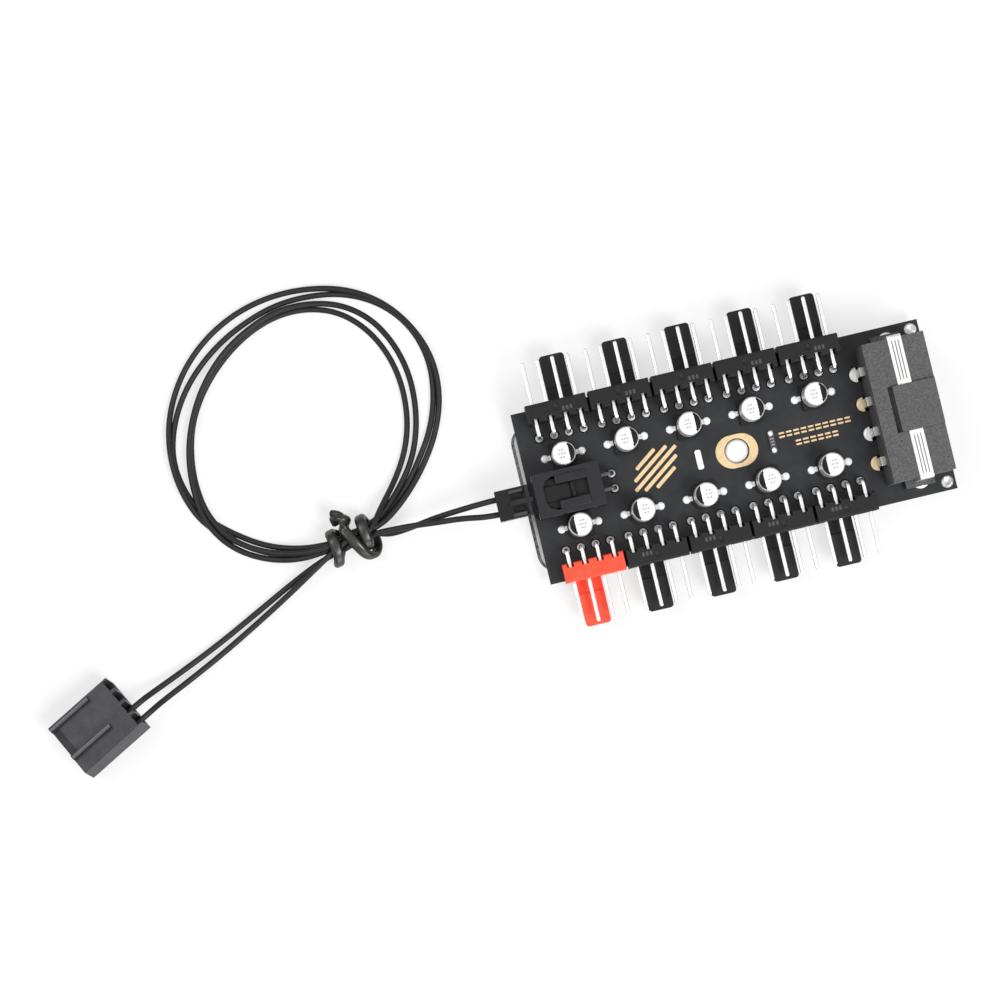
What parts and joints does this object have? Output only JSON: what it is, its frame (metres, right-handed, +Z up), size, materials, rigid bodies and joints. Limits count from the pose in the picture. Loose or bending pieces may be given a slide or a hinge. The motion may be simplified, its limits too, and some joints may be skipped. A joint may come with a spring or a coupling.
{
  "type": "pc fan hub",
  "caption": "Compact circuit-board hub that splits one fan signal to two rows of four-pin fan headers, with a power inlet, buffer capacitors, foam pad and a tied two-wire lead.",
  "frame": {"origin": "centre of the board's outline, on the surface that the foam pad's liner lies on", "axes": "+X along the board towards the power inlet, +Y across the board towards the back row of headers, +Z up out of the board's face"},
  "size_m": [0.157, 0.0727, 0.0143],
  "materials": {
    "board_laminate": "satin black solder mask over woven glass",
    "can_metal": "bright drawn can under a clear sleeve",
    "capacitor_base": "moulded, matte",
    "chip_ceramic": "glazed ceramic chip with tinned ends",
    "chip_white": "white ceramic, smooth",
    "clip_metal": "stamped strip, bright tin plating",
    "connector_plastic": "moulded, fine-grained matte",
    "foam": "soft white closed-cell foam with adhesive faces",
    "gold_plating": "bright gold plating",
    "header_black": "moulded nylon, satin",
    "header_red": "moulded nylon, satin",
    "liner": "thin silicone-coated paper, matte white",
    "plug_plastic": "moulded nylon, satin",
    "power_pins": "turned round pins, bright tin plating",
    "solder": "bright solder",
    "tie_plastic": "vinyl-coated wire strip, satin",
    "tinned_lead": "tinned copper strip, satin",
    "tinned_pins": "square posts, bright tin plating",
    "wire_insulation": "extruded vinyl, satin"
  },
  "bodies": {
    "root": {"cable_plug": "plug_plastic", "cable_plug_contacts": "tinned_lead", "capacitor_bases_back": "capacitor_base", "capacitor_bases_front": "capacitor_base", "capacitor_can_1": "can_metal", "capacitor_can_10": "can_metal", "capacitor_can_2": "can_metal", "capacitor_can_3": "can_metal", "capacitor_can_4": "can_metal", "capacitor_can_5": "can_metal", "capacitor_can_6": "can_metal", "capacitor_can_7": "can_metal", "capacitor_can_8": "can_metal", "capacitor_can_9": "can_metal", "capacitor_solder": "solder", "capacitor_terminals": "tinned_lead", "chip_resistor": "chip_ceramic", "circuit_board": "board_laminate", "fan_header_1": "header_red", "fan_header_10": "header_black", "fan_header_2": "header_black", "fan_header_3": "header_black", "fan_header_4": "header_black", "fan_header_5": "header_black", "fan_header_6": "header_black", "fan_header_7": "header_black", "fan_header_8": "header_black", "fan_header_9": "header_black", "fan_plug": "plug_plastic", "fan_plug_contacts": "tinned_lead", "foam_pad": "foam", "header_pins_1": "tinned_pins", "header_pins_10": "tinned_pins", "header_pins_2": "tinned_pins", "header_pins_3": "tinned_pins", "header_pins_4": "tinned_pins", "header_pins_5": "tinned_pins", "header_pins_6": "tinned_pins", "header_pins_7": "tinned_pins", "header_pins_8": "tinned_pins", "header_pins_9": "tinned_pins", "hold_down_clips": "clip_metal", "input_pins": "tinned_pins", "input_shroud": "connector_plastic", "plated_ring": "gold_plating", "power_inlet": "connector_plastic", "power_pins": "power_pins", "release_liner": "liner", "solder_joints": "solder", "twist_tie": "tie_plastic", "white_chip": "chip_white", "wire_coil": "wire_insulation", "wire_lead_1": "wire_insulation", "wire_lead_2": "wire_insulation", "wire_tail_1": "wire_insulation", "wire_tail_2": "wire_insulation"}
  },
  "joints": []
}
